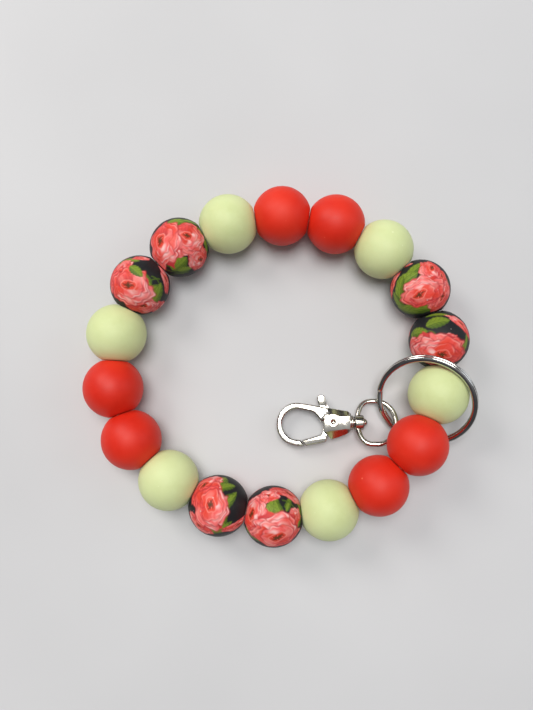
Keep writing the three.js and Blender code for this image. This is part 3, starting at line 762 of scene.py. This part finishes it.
def bezier_loop(points, per_span=14):
    closed = np.vstack([points[-1], points, points[0], points[1]])
    out = []
    for i in range(1, len(points) + 1):
        a, b, c, d = closed[i - 1], closed[i], closed[i + 1], closed[i + 2]
        for t in np.linspace(0, 1, per_span, endpoint=False):
            out.append(0.5 * (2 * b + (c - a) * t + (2 * a - 5 * b + 4 * c - d) * t * t
                              + (3 * b - a - 3 * c + d) * t ** 3))
    return np.array(out)


def sweep(name, line, radius, sides=16, closed=True, up=(0, 0, 1.0)):
    ahead = np.roll(line, -1, 0) - np.roll(line, 1, 0)
    if not closed:
        ahead[0], ahead[-1] = line[1] - line[0], line[-1] - line[-2]
    ahead = unit(ahead)
    side = unit(np.cross(ahead, up))
    over = np.cross(side, ahead)
    angle = np.linspace(0, 2 * math.pi, sides, endpoint=False)
    rows = (line[:, None] + radius * (side[:, None] * np.cos(angle)[None, :, None]
                                      + over[:, None] * np.sin(angle)[None, :, None]))
    return skin(name, rows, closed)


def make_cord():
    route = []
    for node in BEAD_NAMES:
        centre, axis = bead_joint(node)
        route.extend([centre - axis * 4.5, centre, centre + axis * 4.5])
    strand = sweep("cord_strand", bezier_loop(np.array(route), 8), CORD_RADIUS)
    centre, axis = bead_joint(BEAD_NAMES[13])
    side = unit(np.cross(axis, [0, 0, 1.0]))
    over = np.cross(side, axis)
    # A trefoil round the strand. Its centreline stays 0.59 mm from its other turns, more than
    # the tube's 0.50 mm, because a tube that crosses itself makes the boolean return nothing.
    turn = np.linspace(0, 2 * math.pi, 160, endpoint=False)[:, None]
    outwards = side * np.cos(2 * turn) + over * np.sin(2 * turn)
    bulge = outwards * np.cos(3 * turn) + axis * np.sin(3 * turn)
    knot = sweep("cord_knot", centre + KNOT_WIDE * outwards + KNOT_BULGE * bulge, KNOT_WIRE, 12,
                 up=bulge)
    cord = combine("elastic_cord_strand", [strand, knot])
    cord.data.materials.append(stretch_cord("stretch_cord"))
    stand_for(cord, "elastic_cord")


make_cord()


# ---------------------------------------------------------------- split key ring

RING_OUTER = 12.5
WIRE_WIDE = 1.44
COIL_HIGH = 0.98
COIL_PITCH = 1.08
CROSSING = 28
CROSSING_START = 118
RING_TILT = 35.9
RING_UPHILL = 53.1


def make_ring():
    low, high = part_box("split_key_ring")
    centre = (np.array(low) + np.array(high)) / 2 / MM
    tilt, uphill = math.radians(RING_TILT), math.radians(RING_UPHILL)
    top = np.array([math.cos(tilt) * math.cos(uphill), math.cos(tilt) * math.sin(uphill),
                    math.sin(tilt)])
    level = np.array([-math.sin(uphill), math.cos(uphill), 0])
    axes = Axes(centre, top, level, np.cross(top, level))
    w, h = WIRE_WIDE / 2, COIL_HIGH / 2
    angle = np.linspace(0, 2 * math.pi, 28, endpoint=False)
    c, s = np.cos(angle), np.sin(angle)
    section = np.stack([w * np.sign(c) * np.abs(c) ** 0.82, h * np.sign(s) * np.abs(s) ** 0.82], -1)
    radius = RING_OUTER - w
    sweep_turn = 720 - CROSSING
    count = 440
    rows = []
    for i in range(count + 1):
        turn = sweep_turn * i / count
        climb = smoothstep(360 - CROSSING, 360, turn)
        height = COIL_PITCH * (climb - 0.5)
        around = math.radians(CROSSING_START + CROSSING + turn)
        end = min(i, count - i) / 3
        shrink = 1 if end >= 1 else 0.72 + 0.28 * math.sqrt(max(0, 1 - (1 - end) ** 2))
        out = np.array([math.cos(around), math.sin(around), 0])
        rows.append(axes([out * (radius + r * shrink) + [0, 0, height + z * shrink]
                          for r, z in section]))
    ring = skin("key_ring_coils", rows)
    ring.data.materials.append(STEEL)
    stand_for(ring, "split_key_ring")


make_ring()


# ---------------------------------------------------------------- lobster clasp

gate_joint, swivel_joint = JOINTS["gate_open"], JOINTS["clasp_swivel"]
clasp_w = -unit(gate_joint["axis"])
clasp_u = unit(swivel_joint["axis"])
clasp_v = np.cross(clasp_w, clasp_u)
CLASP = Axes(np.array(gate_joint["pos_m"]) / MM, clasp_u, clasp_v, clasp_w)
neck_height = CLASP.basis @ (np.array(swivel_joint["pos_m"]) / MM - CLASP.origin)
NECK_V = float(neck_height[1])
NECK = Axes(CLASP([0, NECK_V, 0]), clasp_u, clasp_v, clasp_w)
RIVET = Axes(CLASP.origin, clasp_w, clasp_u, clasp_v)

HOOK_HALF = 1.6
SLOT_HALF = 0.78
HOUSING_HALF = 2.1


def hook_outline():
    outer = spline([(-8.8, -6.2), (-10.0, -6.05), (-11.5, -5.6), (-12.9, -4.75), (-13.85, -3.45),
                    (-14.35, -2.1), (-14.5, -0.6), (-14.25, 1.1), (-13.6, 2.5), (-12.4, 3.75),
                    (-11.1, 4.55), (-9.8, 4.85), (-8.3, 4.8), (-6.3, 4.5), (-4.4, 4.15)], 3)
    inner = spline([(-3.2, 0.4), (-4.2, 1.6), (-5.3, 2.5), (-7.5, 3.05), (-9.3, 3.35),
                    (-10.9, 2.95), (-12.2, 1.9), (-12.9, 0.6), (-13.05, -0.9), (-12.6, -2.4),
                    (-11.6, -3.65), (-10.3, -4.45), (-8.25, -4.75)], 3)
    link = [(-1.2, 3.6), (-1.2, 0.2)]
    return np.vstack([[(-7.45, -6.15)], outer, link, inner])


HOUSING = [
    (-2.4, -2.6, -2.3, -2.55), (-2.4, -0.7, -2.35, -0.6), (-3.1, 0.3, -2.35, 0.4),
    (-4.3, 1.7, -1.75, 1.05), (-4.5, 3.95, -1.15, 1.75), (-2.2, 3.75, -0.2, 2.05),
    (0.2, 3.35, 0.8, 1.85), (1.9, 3.05, 1.9, 1.4), (3.8, 2.75, 3.7, 1.55),
    (4.6, 2.1, 4.4, 1.6), (4.6, -2.35, 4.4, -1.9), (3.4, -3.2, 3.1, -1.85),
    (1.4, -3.95, 1.2, -2.15), (-0.4, -4.45, -0.5, -2.3), (-1.15, -3.75, -1.6, -2.6),
]


def housing_block():
    wall = round_corners([h[:2] for h in HOUSING], 0.35, 4)
    face = round_corners([h[2:] for h in HOUSING], 0.22, 4)
    rows = []
    for side in (-1, 1):
        levels = [(HOUSING_HALF, 1.0, 0.10), (HOUSING_HALF - 0.03, 1.0, 0.03),
                  (HOUSING_HALF - 0.10, 0.98, 0.0), (1.3, 0.09, 0.0), (1.2, 0.02, 0.0),
                  (1.08, 0.0, 0.0)]
        for level, share, shrink in levels if side < 0 else levels[::-1]:
            flat = inset(wall * (1 - share) + face * share, shrink)
            rows.append(CLASP(np.column_stack([flat, np.full(len(flat), side * level)])))
    return skin("housing", rows)


def make_clasp_body():
    hook = bar("hook", CLASP, hook_outline(), HOOK_HALF, 0.46, 6)
    neck = turned("neck", NECK, rounded([
        [3.3, 0.01], [3.3, 1.6], [4.3, 1.95], [4.55, 2.05], [4.8, 1.75], [5.0, 1.85],
        [5.3, 1.7], [5.3, 0.01]], 0.12, 3))
    slot_hub = turned("slot_hub", RIVET, [[-SLOT_HALF, 0.01], [-SLOT_HALF, 2.15],
                                          [SLOT_HALF, 2.15], [SLOT_HALF, 0.01]], 64)
    tab_window = bar("tab_window", CLASP, [(-2.0, 0.2), (1.9, 1.0), (1.3, 5.4), (-4.1, 5.4),
                                           (-3.9, 3.6)], SLOT_HALF, 0)
    gate_window = bar("gate_window", CLASP, [(-6.0, 0.6), (-1.0, 1.0), (0.2, -2.0),
                                             (-0.7, -5.4), (-6.0, -5.4)], SLOT_HALF, 0)
    hole = turned("hole", RIVET, [[-3.1, 0.01], [-3.1, 0.7], [3.1, 0.7], [3.1, 0.01]], 62)
    body = combine("clasp_hook_and_housing", [hook, housing_block(), neck],
                   [hole, slot_hub, tab_window, gate_window])
    body.data.materials.append(NICKEL)
    stand_for(body, "clasp_body")


def make_gate():
    lever_bar = bar("lever_bar", CLASP, round_corners(
        [(-7.95, -4.8), (-3.05, -3.35), (-2.8, -2.9), (-1.5, -4.0), (-1.75, -4.95),
         (-4.0, -5.5), (-7.1, -6.05)], 0.2, 3), HOOK_HALF, 0.28, 3)
    tab = bar("tab", CLASP, np.vstack([
        [(-3.6, 4.35)], spline([(-4.0, 5.9), (-3.85, 6.55), (-3.3, 6.9), (-2.6, 6.9),
                                (-2.05, 6.45), (-1.85, 5.9)], 6), [(-1.45, 3.95)]]), 1.0, 0.25, 3)
    hub = turned("hub", RIVET, [[-0.62, 0.01], [-0.62, 1.9], [0.62, 1.9], [0.62, 0.01]], 64)
    tab_arm = bar("tab_arm", CLASP, [(-1.8, 0.3), (-0.2, 1.7), (-1.6, 4.6), (-3.5, 4.9)], 0.62, 0)
    gate_arm = bar("gate_arm", CLASP, [(-1.7, 0.2), (-2.7, -3.4), (-1.9, -4.0), (-0.9, -1.4)],
                   0.62, 0)
    hole = turned("hole", RIVET, [[-3, 0.01], [-3, 0.7], [3, 0.7], [3, 0.01]], 64)
    gate = combine("gate_and_thumb_tab", [lever_bar, tab, hub, tab_arm, gate_arm], [hole])
    gate.data.materials.append(NICKEL)
    stand_for(gate, "gate_lever")


def make_rivet():
    seat, top = 2.12, 2.29
    half = [[0.0, 0.62], [seat, 0.62], [seat, 1.35], [top - 0.05, 1.33], [top, 1.2],
            [top, 0.68], [top - 0.1, 0.55], [top - 0.3, 0.3], [top - 0.35, 0.01]]
    profile = [[-a, r] for a, r in half[::-1]] + half[1:]
    rivet = turned("rivet_with_dimples", RIVET, rounded(profile, 0.05, 3), 72)
    rivet.data.materials.append(NICKEL)
    stand_for(rivet, "gate_rivet")


def make_spring():
    turns, pitch = 2.2, 0.31
    count = 150
    line = []
    for i in range(count + 1):
        turn = 2 * math.pi * turns * i / count
        line.append((1.15 * math.cos(turn), 1.15 * math.sin(turn),
                     -0.09 + pitch * turns * i / count))
    spring = sweep("torsion_spring", CLASP(line), 0.13, 12, closed=False)
    spring.data.materials.append(WIRE)
    stand_for(spring, "gate_spring")


EYE_START = 6.4
EYE_LONG = 5.0
EYE_WIDE = 5.74
EYE_SQUARENESS = 0.56
EYE_WIRE = 0.66
EYE_ROLL = 18


def make_eye():
    roll = math.radians(EYE_ROLL)
    v = clasp_v * math.cos(roll) - clasp_w * math.sin(roll)
    w = np.cross(clasp_u, v)
    axes = Axes(NECK.origin, clasp_u, v, w)
    line = []
    count = 200
    for i in range(count):
        turn = 2 * math.pi * i / count
        c = math.cos(turn)
        reach = -(abs(c) ** EYE_SQUARENESS) if c < 0 else c
        line.append((EYE_START + EYE_LONG * (1 + reach), EYE_WIDE * math.sin(turn), 0))
    line = np.array(line)
    ahead = unit(np.roll(line, -1, 0) - np.roll(line, 1, 0))
    side = np.cross(ahead, [0, 0, 1.0])
    angle = np.linspace(0, 2 * math.pi, 20, endpoint=False)
    rows = line[:, None] + EYE_WIRE * (side[:, None] * np.cos(angle)[None, :, None]
                                       + np.array([0, 0, 1.0]) * np.sin(angle)[None, :, None])
    wire = skin("eye_wire", axes(rows.reshape(-1, 3)).reshape(rows.shape), closed=True)
    barrel = turned("barrel", axes, rounded([[5.6, 0.01], [5.6, 1.62], [5.85, 1.9], [7.8, 1.9],
                                             [8.05, 1.62], [8.05, 0.01]], 0.15, 3), 72)
    bore = turned("bore", axes, [[4.6, 0.01], [4.6, 0.72], [9.05, 0.72], [9.05, 0.01]], 48)
    eye = combine("swivel_eye_loop", [wire, barrel], [bore])
    eye.data.materials.append(NICKEL)
    stand_for(eye, "swivel_eye")


def make_pin():
    pin = turned("swivel_pin_domed", NECK, rounded([
        [3.6, 0.01], [3.6, 0.6], [8.15, 0.6], [8.15, 1.0], [8.53, 0.88], [8.83, 0.55],
        [9.0, 0.01]], 0.12, 4), 64)
    pin.data.materials.append(NICKEL)
    stand_for(pin, "swivel_pin")


make_clasp_body()
make_gate()
make_rivet()
make_spring()
make_eye()
make_pin()


# ---------------------------------------------------------------- floor, light, camera

def make_floor():
    half = 9000.0
    low = float(cad_low[2]) / MM - 0.01
    points = [(-half, -half, low), (half, -half, low), (half, half, low), (-half, half, low)]
    floor = add_object("floor", points, [(0, 1, 2, 3)], smooth=False)
    floor.data.materials.append(table_top("table_top"))


def area_light(name, at, size, power, colour=(1, 1, 1), aim=(0, 0, 0)):
    data = bpy.data.lights.new(name, "AREA")
    data.shape = "RECTANGLE"
    data.size, data.size_y = size
    data.energy = power
    data.color = colour
    lamp = bpy.data.objects.new(name, data)
    lamp.location = at
    way = Vector(aim) - Vector(at)
    lamp.rotation_euler = way.to_track_quat("-Z", "Y").to_euler()
    bpy.context.scene.collection.objects.link(lamp)


def sky_light(name, toward, width, strength, colour):
    """A broad round source far away, seen under width degrees."""
    data = bpy.data.lights.new(name, "SUN")
    data.angle = math.radians(width)
    data.energy = strength
    data.color = colour
    lamp = bpy.data.objects.new(name, data)
    lamp.rotation_euler = (-Vector(toward)).to_track_quat("-Z", "Y").to_euler()
    bpy.context.scene.collection.objects.link(lamp)


def make_world():
    world = bpy.data.worlds.new("soft_room")
    world.use_nodes = True
    bpy.context.scene.world = world
    tree = world.node_tree
    place = tree.nodes.new("ShaderNodeTexCoord")
    split = tree.nodes.new("ShaderNodeSeparateXYZ")
    ramp = tree.nodes.new("ShaderNodeValToRGB")
    tree.links.new(place.outputs["Generated"], split.inputs[0])
    tree.links.new(split.outputs["Z"], ramp.inputs["Fac"])
    stops = [(0.0, (1.45, 1.46, 1.48)), (0.06, (1.25, 1.26, 1.28)), (0.2, (0.16, 0.16, 0.17)),
             (0.5, (0.16, 0.16, 0.17)), (0.66, (0.26, 0.26, 0.28)), (0.82, (0.60, 0.61, 0.63)),
             (1.0, (0.90, 0.91, 0.93))]
    elements = ramp.color_ramp.elements
    while len(elements) < len(stops):
        elements.new(0.5)
    for element, (at, colour) in zip(elements, stops):
        element.position = at
        element.color = (*colour, 1)
    back = tree.nodes["Background"]
    tree.links.new(ramp.outputs["Color"], back.inputs["Color"])
    back.inputs["Strength"].default_value = 0.42


def make_camera():
    data = bpy.data.cameras.new("camera")
    data.sensor_width = 36
    data.lens = 32.96
    data.clip_start, data.clip_end = 0.005, 10
    camera = bpy.data.objects.new("camera", data)
    camera.location = Vector([float(x) for x in CAMERA_AT * MM])
    camera.rotation_euler = Euler((math.radians(3.836), 0, 0))
    bpy.context.scene.collection.objects.link(camera)
    bpy.context.scene.camera = camera


make_floor()
make_world()
sky_light("ceiling", (-0.02, 0.10, 0.52), 32, 2.1, (1.0, 0.99, 0.965))
area_light("window", (-0.36, 0.34, 0.42), (0.24, 0.24), 1.7, (1.0, 0.97, 0.92))
area_light("room", (0.50, 0.10, 0.34), (0.30, 0.30), 0.5, (0.86, 0.93, 1.0))
make_camera()
bpy.context.scene.view_settings.view_transform = "Standard"
